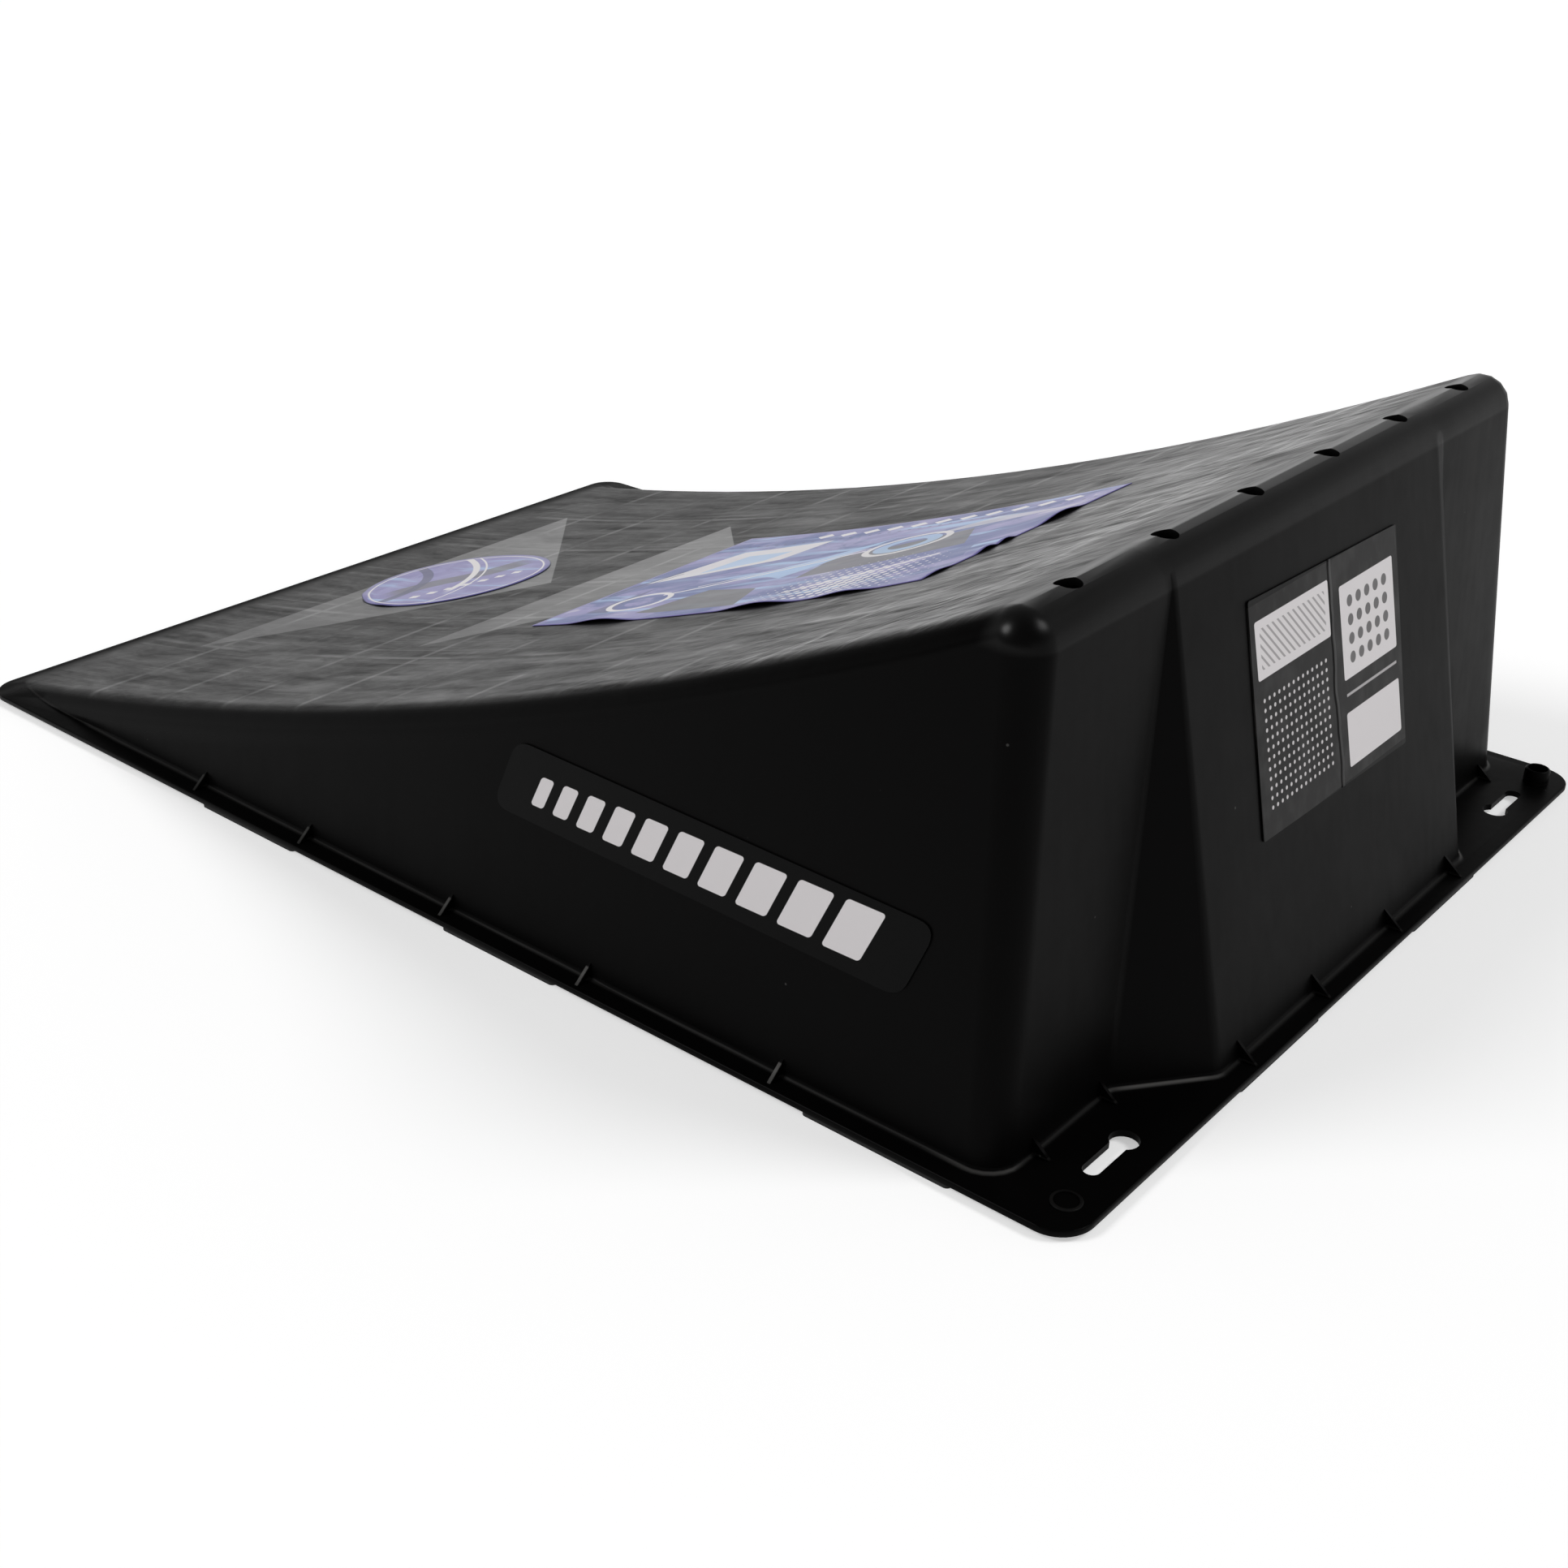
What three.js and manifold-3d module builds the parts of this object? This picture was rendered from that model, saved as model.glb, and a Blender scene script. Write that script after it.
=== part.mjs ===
import * as THREE from 'three';
import { mergeVertices } from 'three/addons/utils/BufferGeometryUtils.js';
import Module from 'manifold-3d';

const wasm = await Module();
wasm.setup();

// Launch ramp: one moulded shell, open underneath, with grip pads and stickers.
// The ramp climbs along +X from its toe to its lip. Sizes are in millimetres.

const degree = Math.PI / 180;
const quarterTurn = Math.PI / 2;
const fullTurn = Math.PI * 2;
const half = 0.5;

// Flange round the foot of the shell
const rampLength = 574;
const rampWidth = 400;
const flangeThickness = 2.5;
const flangeCornerRadius = 13;
const flangeEdgeBreak = 0.4;

// Shell
const wallThickness = 2.5;
const deckRadius = 1900;
const toeAngle = 10.5 * degree;
const toeLedge = 4;
const deckEndFromRear = 62.8;
const toeEdgeRadius = 10.2;
const lipEdgeRadius = 12;
const sideLedge = 8.5;
const sideDraft = 6.7 * degree;
const footFillet = 2;
const footFilletFade = 6;

// Rear wall: a centre panel that leans out between two corner bays
const bayLedge = 32;
const panelLedge = 8;
const panelHalfWidth = 97;
const fluteRun = 31;
const fluteHollowRadius = 6;
const fluteEdgeRadius = 8;
const fluteTopSpread = 1;
const fluteTopBlend = 7;

// Ribs under the deck
const ribThickness = 2;
const ribDepth = 16;
const crossRibStart = 61.5;
const crossRibPitch = 46.5;
const longRibPitch = 58.5;
const longRibRanks = [-2, -1, 0, 1, 2];

// Gussets between the walls and the flange
const gussetThickness = 1.2;
const gussetHeight = 5.6;
const gussetReach = 6.6;
const gussetRoot = 1.8;
const sideGussetShares = [0.263, 0.38, 0.522, 0.645, 0.797];
const bayGussetFromFlute = 4.5;
const bayGussetFromSide = 20;
const panelGussetShares = [0.304, 0.861];

// Holes through the lip
const lipHoleRadius = 4.4;
const lipHolePastDeckEnd = 4.8;
const lipHoleFromSide = 53.75;
const lipHoleCount = 6;

// Keyhole slots in the rear corners of the flange
const keyholeFromRear = 14;
const keyholeWideFromSide = 53;
const keyholeWideRadius = 5;
const keyholeNarrowFromSide = 33.7;
const keyholeNarrowRadius = 3;

// Joining peg in the far corner and ring in the near corner
const pegFromRear = 11.5;
const pegFromSide = 15.5;
const pegRadius = 5.2;
const pegBoreRadius = 4.1;
const pegHeight = 6.2;
const pegTopBreak = 0.6;
const ringHeight = 0.6;

// Grip pads under the flange
const padLength = 58;
const padWidth = 9.5;
const padThickness = 1.5;
const padCornerRadius = 2;
const padInset = 0.6;
const sidePadShares = [0.326, 0.577, 0.873];
const rearPadY = 67;

// Stickers
const labelThickness = 0.3;
const labelGap = 0.3;
const roundLabelRadius = 46;
const roundLabelFromToe = 91;
const roundLabelY = 1;
const bannerLength = 197;
const bannerWidth = 142;
const bannerPlaceShare = 0.5575;
const bannerY = -1.5;
const bannerLiftHeight = 1.8;
const bannerLiftDepth = 26;
const bannerLiftReach = 22;
const bannerNearLiftShares = [0.2, 0.58, 0.83];
const bannerLipLiftShares = [0.03, 0.33, 0.59];
const sideLabelPlaceShare = 0.722;
const sideLabelClimbShare = 0.49;
const sideLabelLength = 180;
const sideLabelWidth = 28;
const sideLabelSlant = 9;
const sideLabelCornerRadius = 7;
const sideLabelBowShare = 0.55;
const sideLabelTurn = -1 * degree;
const rearLabelWidth = 110;
const rearLabelLength = 82;
const rearLabelClimbShare = 0.666;
const rearLabelY = -0.5;
const rearLabelTurn = -1.5 * degree;
const rearLabelCornerRadius = 1;

// Steps of the round and curved surfaces
const sideSteps = 22;
const sideSpacingPower = 1.25;
const edgeSteps = 5;
const cornerSteps = 6;
const fluteSteps = 3;
const roundSteps = 24;
const shapeSteps = 6;
const labelRings = 3;
const labelRoundSteps = 36;
const bannerLengthSteps = 28;
const bannerWidthSteps = 14;

// How far cutting solids run past what they cut
const overrun = 20;

// Levels and places that follow from the sizes above
const flangeBottomZ = padThickness;
const flangeTopZ = flangeBottomZ + flangeThickness;
const toeX = -rampLength * half;
const rearX = rampLength * half;
const halfWidth = rampWidth * half;
const sideWallY = halfWidth - sideLedge;
const bayWallX = rearX - bayLedge;
const panelWallX = rearX - panelLedge;
const lowZ = -overrun;
const deckRun = rampLength - toeLedge - deckEndFromRear;

const fromToe = (distance) => toeX + distance;
const shareOfLength = (share) => fromToe(rampLength * share);

// The deck is an arc that starts at the flange's top face and grows steeper towards the lip
const deckStartX = fromToe(toeLedge);
const deckCentreX = deckStartX - deckRadius * Math.sin(toeAngle);
const deckCentreZ = flangeTopZ + deckRadius * Math.cos(toeAngle);
const lipAngle = Math.asin((deckStartX + deckRun - deckCentreX) / deckRadius);

const deckZ = (x) => deckCentreZ - Math.sqrt(deckRadius ** 2 - (x - deckCentreX) ** 2);
const deckNormal = (angle) => new THREE.Vector3(-Math.sin(angle), 0, Math.cos(angle));

// Centre line of the rounded edge, for a deck angle, on the near side
function edgeCentre(angle, radius) {
  const x = deckCentreX + (deckRadius + radius) * Math.sin(angle);
  const z = deckCentreZ - (deckRadius + radius) * Math.cos(angle);
  return new THREE.Vector3(x, -sideCentreY(z, radius), z);
}

function sideCentreY(z, radius) {
  return sideWallY - (z - flangeTopZ) * Math.tan(sideDraft) - radius / Math.cos(sideDraft);
}

// Lean of a rear wall whose foot is at x and whose top touches the rounded lip
function rearLean(x, centre) {
  const dx = x - centre.x;
  const dz = flangeTopZ - centre.z;
  return Math.atan2(dz, dx) + Math.acos(lipEdgeRadius / Math.hypot(dx, dz));
}

const lipCentre = edgeCentre(lipAngle, lipEdgeRadius);
const bayLean = rearLean(bayWallX, lipCentre);
const panelLean = rearLean(panelWallX, lipCentre);
const rearNormal = (lean) => new THREE.Vector3(Math.cos(lean), 0, Math.sin(lean));
const sideNormal = new THREE.Vector3(0, -Math.cos(sideDraft), Math.sin(sideDraft));

function turnBetween(from, to, share) {
  const angle = from.angleTo(to);
  const start = from.clone().multiplyScalar(Math.sin((1 - share) * angle) / Math.sin(angle));
  return start.addScaledVector(to, Math.sin(share * angle) / Math.sin(angle));
}

// A station is one upright line of the shell's skin. It holds the rounded edge's centre and
// radius, the normals of deck and wall there, the way out of the wall in plan at its foot, and
// either the wall's run per unit of height or, where the wall twists, its foot on the flange.
// The edge's radius grows from the toe to the lip.
function sideStations() {
  const stations = [];
  const slope = new THREE.Vector2(0, Math.tan(sideDraft));
  for (let k = 0; k < sideSteps; k += 1) {
    const share = (k / sideSteps) ** sideSpacingPower;
    const angle = toeAngle + (lipAngle - toeAngle) * share;
    const radius = toeEdgeRadius + (lipEdgeRadius - toeEdgeRadius) * share;
    stations.push({
      radius,
      centre: edgeCentre(angle, radius),
      deck: deckNormal(angle),
      wall: sideNormal,
      slope,
      out: new THREE.Vector2(0, -1),
    });
  }
  return stations;
}

// The upright corner edge is a round bar whose axis lies its radius inside both walls
const cornerFoot = new THREE.Vector3(
  bayWallX - lipEdgeRadius / Math.cos(bayLean),
  -sideCentreY(flangeTopZ, lipEdgeRadius),
  flangeTopZ,
);
const cornerRise = lipCentre.clone().sub(cornerFoot);
const cornerSlope = new THREE.Vector2(cornerRise.x, cornerRise.y).divideScalar(cornerRise.z);

function cornerStations() {
  const stations = [];
  for (let k = 0; k <= cornerSteps; k += 1) {
    const wall = turnBetween(sideNormal, rearNormal(bayLean), k / cornerSteps);
    stations.push({
      radius: lipEdgeRadius,
      centre: lipCentre.clone(),
      deck: deckNormal(lipAngle),
      wall,
      slope: cornerSlope,
      out: new THREE.Vector2(wall.x, wall.y).normalize(),
    });
  }
  return stations;
}

// Foot of the flute: a hollow round from the bay, a straight run and a round onto the panel
const fluteLine = new THREE.Vector2(panelWallX - bayWallX, fluteRun);
const fluteTurn = Math.atan2(fluteLine.x, fluteLine.y);

function fluteFoot() {
  const points = [];
  const tangentShare = Math.tan(fluteTurn * half);
  const hollow = new THREE.Vector2(
    bayWallX + fluteHollowRadius,
    -panelHalfWidth - fluteRun - fluteHollowRadius * tangentShare,
  );
  const edge = new THREE.Vector2(
    panelWallX - fluteEdgeRadius,
    -panelHalfWidth + fluteEdgeRadius * tangentShare,
  );
  for (let k = 0; k <= fluteSteps; k += 1) {
    const angle = fluteTurn * (k / fluteSteps);
    const out = new THREE.Vector2(Math.cos(angle), -Math.sin(angle));
    points.push({ out, foot: hollow.clone().addScaledVector(out, -fluteHollowRadius) });
  }
  for (let k = 0; k <= fluteSteps; k += 1) {
    const angle = fluteTurn * (1 - k / fluteSteps);
    const out = new THREE.Vector2(Math.cos(angle), -Math.sin(angle));
    points.push({ out, foot: edge.clone().addScaledVector(out, fluteEdgeRadius) });
  }
  return points;
}

function fluteStations() {
  const foot = fluteFoot();
  return foot.map((point, k) => {
    const share = k / (foot.length - 1);
    const wall = rearNormal(bayLean + (panelLean - bayLean) * share);
    const y = -panelHalfWidth - fluteTopSpread + fluteTopBlend * (share - half);
    return {
      radius: lipEdgeRadius,
      centre: new THREE.Vector3(lipCentre.x, y, lipCentre.z),
      deck: deckNormal(lipAngle),
      wall,
      foot: point.foot,
      out: point.out,
    };
  });
}

function mirrored(station) {
  const flip = new THREE.Vector3(1, -1, 1);
  const flipPlan = new THREE.Vector2(1, -1);
  return {
    radius: station.radius,
    centre: station.centre.clone().multiply(flip),
    deck: station.deck,
    wall: station.wall.clone().multiply(flip),
    slope: station.slope?.clone().multiply(flipPlan),
    foot: station.foot?.clone().multiply(flipPlan),
    out: station.out.clone().multiply(flipPlan),
  };
}

const nearStations = [...sideStations(), ...cornerStations(), ...fluteStations()];
const farStations = nearStations.map(mirrored).reverse();
const stations = [...nearStations, ...farStations];
const firstCorner = sideSteps;

// Geometry helpers
function solidFrom(geometry) {
  const bare = geometry.index ? geometry.clone() : geometry;
  for (const name of Object.keys(bare.attributes)) {
    if (name !== 'position') bare.deleteAttribute(name);
  }
  const merged = mergeVertices(bare);
  const index = merged.index.array;
  const kept = [];
  for (let i = 0; i < index.length; i += 3) {
    const [a, b, c] = [index[i], index[i + 1], index[i + 2]];
    if (a !== b && b !== c && c !== a) kept.push(a, b, c);
  }
  return new wasm.Manifold(new wasm.Mesh({
    numProp: 3,
    vertProperties: new Float32Array(merged.attributes.position.array),
    triVerts: new Uint32Array(kept),
  }));
}

function geometryFrom(solid) {
  const mesh = solid.getMesh();
  const geometry = new THREE.BufferGeometry();
  geometry.setAttribute('position', new THREE.BufferAttribute(mesh.vertProperties, 3));
  geometry.setIndex(new THREE.BufferAttribute(mesh.triVerts, 1));
  geometry.computeVertexNormals();
  return geometry;
}

function joined(solids) {
  return solids.reduce((sum, solid) => sum.add(solid));
}

function extruded(shape, depth) {
  const options = { depth, bevelEnabled: false, curveSegments: shapeSteps };
  return new THREE.ExtrudeGeometry(shape, options);
}

function roundedRectangle(length, width, radius) {
  const [x, y] = [length * half, width * half];
  const shape = new THREE.Shape();
  shape.absarc(x - radius, y - radius, radius, 0, quarterTurn);
  shape.absarc(radius - x, y - radius, radius, quarterTurn, Math.PI);
  shape.absarc(radius - x, radius - y, radius, Math.PI, Math.PI + quarterTurn);
  shape.absarc(x - radius, radius - y, radius, Math.PI + quarterTurn, fullTurn);
  return shape;
}

function upright(radius, low, high, x, y) {
  const geometry = new THREE.CylinderGeometry(radius, radius, high - low, roundSteps);
  geometry.rotateX(quarterTurn);
  geometry.translate(x, y, (low + high) * half);
  return solidFrom(geometry);
}

// Body bounded by a skin that lies the given inset under the outside of the shell
function slopeBelow(station, top, inset) {
  if (station.slope) return station.slope;
  const foot = station.foot.clone().addScaledVector(station.out, -inset);
  return new THREE.Vector2(top.x, top.y).sub(foot).divideScalar(top.z - flangeTopZ);
}

function pointOnWall(station, inset, z) {
  const top = station.centre.clone().addScaledVector(station.wall, station.radius - inset);
  const slope = slopeBelow(station, top, inset);
  const height = Math.min(z, top.z);
  const run = height - top.z;
  return new THREE.Vector3(top.x + slope.x * run, top.y + slope.y * run, height);
}

function footRing(inset, filletAngle) {
  return stations.map((station) => {
    const top = station.centre.z + station.wall.z * (station.radius - inset);
    const fade = THREE.MathUtils.clamp((top - flangeTopZ) / footFilletFade, 0, 1);
    const fillet = footFillet * fade;
    const rise = fillet * (1 - Math.cos(filletAngle));
    const push = fillet * (1 - Math.sin(filletAngle));
    const point = pointOnWall(station, inset, flangeTopZ + rise);
    point.x += station.out.x * push;
    point.y += station.out.y * push;
    return point;
  });
}

function shellBody(inset, hasFoot) {
  const rings = [stations.map((station) => pointOnWall(station, inset, lowZ))];
  if (hasFoot) {
    const spread = footRing(inset, 0);
    rings[0] = spread.map((point) => new THREE.Vector3(point.x, point.y, lowZ));
    rings.push(spread, footRing(inset, quarterTurn * half), footRing(inset, quarterTurn));
  }
  for (let k = 0; k <= edgeSteps; k += 1) {
    rings.push(stations.map((station) => {
      const direction = turnBetween(station.wall, station.deck, k / edgeSteps);
      return station.centre.clone().addScaledVector(direction, station.radius - inset);
    }));
  }
  return solidFrom(loftedBody(rings));
}

function loftedBody(rings) {
  const count = stations.length;
  const position = rings.flat().flatMap((point) => point.toArray());
  const index = [];
  for (let level = 0; level + 1 < rings.length; level += 1) {
    for (let k = 0; k < count; k += 1) {
      const next = (k + 1) % count;
      const [a, b] = [level * count + k, level * count + next];
      const [c, d] = [a + count, b + count];
      index.push(a, b, d, a, d, c);
    }
  }
  const base = rings[0].map((point) => new THREE.Vector2(point.x, point.y));
  for (const [a, b, c] of THREE.ShapeUtils.triangulateShape(base, [])) index.push(c, b, a);
  index.push(...deckTriangles((rings.length - 1) * count, count));
  const geometry = new THREE.BufferGeometry();
  geometry.setAttribute('position', new THREE.Float32BufferAttribute(position, 3));
  geometry.setIndex(index);
  return geometry;
}

// The deck is straight across, so its strips join each near station to its far twin
function deckTriangles(start, count) {
  const index = [];
  const near = (k) => start + k;
  const far = (k) => start + count - 1 - k;
  for (let k = 0; k + 1 < firstCorner; k += 1) {
    index.push(near(k), near(k + 1), far(k + 1), near(k), far(k + 1), far(k));
  }
  return index.concat(lipTriangles(near, far));
}

function lipTriangles(near, far) {
  const index = [];
  const last = nearStations.length - 1;
  for (let k = firstCorner; k < last; k += 1) {
    index.push(near(firstCorner - 1), near(k), near(k + 1));
    index.push(far(firstCorner - 1), far(k + 1), far(k));
  }
  index.push(near(firstCorner - 1), near(last), far(last));
  index.push(near(firstCorner - 1), far(last), far(firstCorner - 1));
  return index;
}

// The shell
function block(lengths, centre) {
  const geometry = new THREE.BoxGeometry(lengths.x, lengths.y, lengths.z);
  geometry.translate(centre.x, centre.y, centre.z);
  return solidFrom(geometry);
}

function flangePlate() {
  const outline = roundedRectangle(rampLength, rampWidth, flangeCornerRadius);
  const geometry = new THREE.ExtrudeGeometry(outline, {
    depth: flangeThickness - 2 * flangeEdgeBreak,
    bevelThickness: flangeEdgeBreak,
    bevelSize: flangeEdgeBreak,
    bevelOffset: -flangeEdgeBreak,
    bevelSegments: 1,
    curveSegments: shapeSteps,
  });
  geometry.translate(0, 0, flangeBottomZ + flangeEdgeBreak);
  return solidFrom(geometry);
}

function belowFlange() {
  const depth = flangeBottomZ - lowZ + overrun;
  const lengths = new THREE.Vector3(rampLength + overrun, rampWidth + overrun, depth);
  return block(lengths, new THREE.Vector3(0, 0, flangeBottomZ - depth * half));
}

function crossRib(rank) {
  const x = fromToe(crossRibStart + rank * crossRibPitch);
  const low = deckZ(x) - wallThickness - ribDepth;
  const high = deckZ(x) + overrun;
  const lengths = new THREE.Vector3(ribThickness, rampWidth, high - low);
  return block(lengths, new THREE.Vector3(x, 0, (low + high) * half));
}

function longRib(rank) {
  const shape = new THREE.Shape();
  const endX = deckStartX + deckRun + lipEdgeRadius;
  shape.moveTo(endX, lipCentre.z + overrun);
  shape.lineTo(deckStartX, lipCentre.z + overrun);
  for (let k = 0; k <= sideSteps; k += 1) {
    const x = deckStartX + (endX - deckStartX) * (k / sideSteps);
    shape.lineTo(x, deckZ(x) - wallThickness - ribDepth);
  }
  const geometry = extruded(shape, ribThickness);
  geometry.rotateX(quarterTurn);
  geometry.translate(0, rank * longRibPitch + ribThickness * half, 0);
  return solidFrom(geometry);
}

function ribGrid() {
  const ribs = longRibRanks.map(longRib);
  const lastCrossRib = Math.floor((toeLedge + deckRun - crossRibStart) / crossRibPitch);
  for (let rank = 0; rank <= lastCrossRib; rank += 1) ribs.push(crossRib(rank));
  const middleOfWall = shellBody(wallThickness * half, false);
  return joined(ribs).intersect(middleOfWall).subtract(belowFlange());
}

// A gusset is a small web that stands on the flange and leans on the wall behind it
function gusset(x, y, turn) {
  const sunk = -flangeThickness * half;
  const topHeight = gussetHeight * (gussetReach + gussetRoot) / gussetReach;
  const shape = new THREE.Shape();
  shape.moveTo(-gussetRoot, sunk);
  shape.lineTo(gussetReach, sunk);
  shape.lineTo(gussetReach, 0);
  shape.lineTo(-gussetRoot, topHeight);
  const geometry = extruded(shape, gussetThickness);
  geometry.rotateX(quarterTurn);
  geometry.translate(0, gussetThickness * half, 0);
  geometry.rotateZ(turn);
  geometry.translate(x, y, flangeTopZ);
  return solidFrom(geometry);
}

function gussets() {
  const webs = [];
  const bayPlaces = [
    panelHalfWidth + fluteRun + bayGussetFromFlute,
    sideWallY - bayGussetFromSide,
  ];
  for (const side of [-1, 1]) {
    for (const share of sideGussetShares) {
      webs.push(gusset(shareOfLength(share), side * sideWallY, side * quarterTurn));
    }
    for (const y of bayPlaces) webs.push(gusset(bayWallX, side * y, 0));
    for (const share of panelGussetShares) {
      webs.push(gusset(panelWallX, side * panelHalfWidth * share, 0));
    }
  }
  return joined(webs);
}

// A hollow round post, standing on the flange
function hollowPost(height, x, y) {
  const sunk = -flangeThickness * half;
  const topBreak = Math.min(pegTopBreak, height * half);
  const profile = [
    new THREE.Vector2(pegBoreRadius, sunk),
    new THREE.Vector2(pegRadius, sunk),
    new THREE.Vector2(pegRadius, height - topBreak),
    new THREE.Vector2(pegRadius - topBreak, height),
    new THREE.Vector2(pegBoreRadius, height),
    new THREE.Vector2(pegBoreRadius, sunk),
  ];
  const geometry = new THREE.LatheGeometry(profile, roundSteps);
  geometry.rotateX(quarterTurn);
  geometry.translate(x, y, flangeTopZ);
  return solidFrom(geometry);
}

function keyhole(side) {
  const x = rearX - keyholeFromRear;
  const [low, high] = [flangeBottomZ - overrun, flangeTopZ + overrun];
  const wideY = halfWidth - keyholeWideFromSide;
  const narrowY = halfWidth - keyholeNarrowFromSide;
  const wide = upright(keyholeWideRadius, low, high, x, side * wideY);
  const end = upright(keyholeNarrowRadius, low, high, x, side * narrowY);
  const lengths = new THREE.Vector3(2 * keyholeNarrowRadius, narrowY - wideY, high - low);
  const middleY = side * (wideY + narrowY) * half;
  const slot = block(lengths, new THREE.Vector3(x, middleY, (low + high) * half));
  return wide.add(end).add(slot);
}

function lipHoles() {
  const holes = [];
  const x = deckStartX + deckRun + lipHolePastDeckEnd;
  const outerY = sideWallY - lipHoleFromSide;
  const low = lipCentre.z - overrun;
  const high = lipCentre.z + lipEdgeRadius + overrun;
  for (let k = 0; k < lipHoleCount; k += 1) {
    const y = outerY * (2 * k / (lipHoleCount - 1) - 1);
    holes.push(upright(lipHoleRadius, low, high, x, y));
  }
  return holes;
}

function rampShell() {
  const outside = shellBody(0, true).subtract(belowFlange());
  const inside = shellBody(wallThickness, false);
  const pegX = rearX - pegFromRear;
  const pegY = halfWidth - pegFromSide;
  const solids = [
    outside.add(flangePlate()).subtract(inside),
    ribGrid(),
    gussets(),
    hollowPost(pegHeight, pegX, pegY),
    hollowPost(ringHeight, pegX, -pegY),
  ];
  const cuts = [keyhole(-1), keyhole(1), ...lipHoles()];
  return geometryFrom(joined(solids).subtract(joined(cuts)));
}

// Stickers on the deck follow its curve
function bentOntoDeck(geometry, lift) {
  const position = geometry.attributes.position;
  for (let k = 0; k < position.count; k += 1) {
    const [x, y, z] = [position.getX(k), position.getY(k), position.getZ(k)];
    position.setZ(k, deckZ(x) + labelGap + z + lift(x, y));
  }
  return geometryFrom(solidFrom(geometry));
}

const flat = () => 0;

function roundLabel() {
  const profile = [];
  for (let k = 0; k <= labelRings; k += 1) {
    profile.push(new THREE.Vector2(roundLabelRadius * (k / labelRings), 0));
  }
  for (let k = labelRings; k >= 0; k -= 1) {
    profile.push(new THREE.Vector2(roundLabelRadius * (k / labelRings), labelThickness));
  }
  const geometry = new THREE.LatheGeometry(profile, labelRoundSteps);
  geometry.rotateX(quarterTurn);
  geometry.translate(fromToe(roundLabelFromToe), roundLabelY, 0);
  return bentOntoDeck(geometry, flat);
}

// The banner has come loose along its near edge and its lip edge, where it lifts in places
function bannerLift(x, y) {
  const along = x - shareOfLength(bannerPlaceShare) + bannerLength * half;
  const across = y - bannerY + bannerWidth * half;
  const fromEdge = (distance) => THREE.MathUtils.clamp(1 - distance / bannerLiftDepth, 0, 1) ** 2;
  const wave = (distance) => {
    const reach = Math.min(Math.abs(distance) / bannerLiftReach, 1);
    return half * (1 + Math.cos(Math.PI * reach));
  };
  const near = bannerNearLiftShares.map((share) => wave(along - bannerLength * share));
  const lip = bannerLipLiftShares.map((share) => wave(across - bannerWidth * share));
  const nearLift = fromEdge(across) * Math.max(...near);
  const lipLift = fromEdge(bannerLength - along) * Math.max(...lip);
  return bannerLiftHeight * Math.max(nearLift, lipLift);
}

function bannerLabel() {
  const geometry = new THREE.BoxGeometry(
    bannerLength,
    bannerWidth,
    labelThickness,
    bannerLengthSteps,
    bannerWidthSteps,
    1,
  );
  geometry.translate(shareOfLength(bannerPlaceShare), bannerY, labelThickness * half);
  return bentOntoDeck(geometry, bannerLift);
}

// Stickers on the walls are flat sheets
function wallSheet(shape) {
  return geometryFrom(solidFrom(extruded(shape, labelThickness)));
}

function sideLabelShape() {
  const shape = new THREE.Shape();
  const [x, y] = [sideLabelLength * half, sideLabelWidth * half];
  const slant = sideLabelSlant * half;
  const round = sideLabelCornerRadius;
  shape.moveTo(round - x - slant, -y);
  shape.lineTo(x - slant - round, -y);
  shape.quadraticCurveTo(x - slant, -y, x - slant * sideLabelBowShare, round - y);
  shape.lineTo(x + slant * sideLabelBowShare, y - round);
  shape.quadraticCurveTo(x + slant, y, x + slant - round, y);
  shape.lineTo(round - x + slant, y);
  shape.quadraticCurveTo(slant - x, y, slant * sideLabelBowShare - x, y - round);
  shape.lineTo(-x - slant * sideLabelBowShare, round - y);
  shape.quadraticCurveTo(-x - slant, -y, round - x - slant, -y);
  return shape;
}

// Assembly
const ramp = new THREE.Group();

function addPiece(name, geometry, material) {
  const mesh = new THREE.Mesh(geometry, material);
  mesh.name = name;
  ramp.add(mesh);
  return mesh;
}

function plastic(color, roughness) {
  return new THREE.MeshStandardMaterial({ color, roughness, metalness: 0 });
}

// Lays a sheet on a wall: right runs along the wall, up climbs it, and the sheet stands off
function layOnWall(mesh, foot, right, up, climb, turn) {
  const out = new THREE.Vector3().crossVectors(right, up);
  const basis = new THREE.Matrix4().makeBasis(right, up, out);
  mesh.quaternion.setFromRotationMatrix(basis);
  mesh.rotateZ(turn);
  mesh.position.copy(foot).addScaledVector(up, climb).addScaledVector(out, labelGap);
}

addPiece('ramp_shell', rampShell(), plastic(0x1d1d1f, 0.5));

const padNames = ['toe', 'mid', 'rear'];
for (const [side, word] of [[-1, 'near'], [1, 'far']]) {
  sidePadShares.forEach((share, k) => {
    const outline = roundedRectangle(padLength, padWidth, padCornerRadius);
    const pad = addPiece(
      `grip_pad_${word}_${padNames[k]}`,
      extruded(outline, padThickness),
      plastic(0x0e0e0f, 0.85),
    );
    pad.position.set(shareOfLength(share), side * (halfWidth - padInset - padWidth * half), 0);
  });
  const outline = roundedRectangle(padWidth, padLength, padCornerRadius);
  const pad = addPiece(
    `grip_pad_rear_${word}`,
    extruded(outline, padThickness),
    plastic(0x0e0e0f, 0.85),
  );
  pad.position.set(rearX - padInset - padWidth * half, side * rearPadY, 0);
}

addPiece('deck_round_label', roundLabel(), plastic(0x6f7cc8, 0.35));
addPiece('deck_banner_label', bannerLabel(), plastic(0x8d97dc, 0.35));

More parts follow.
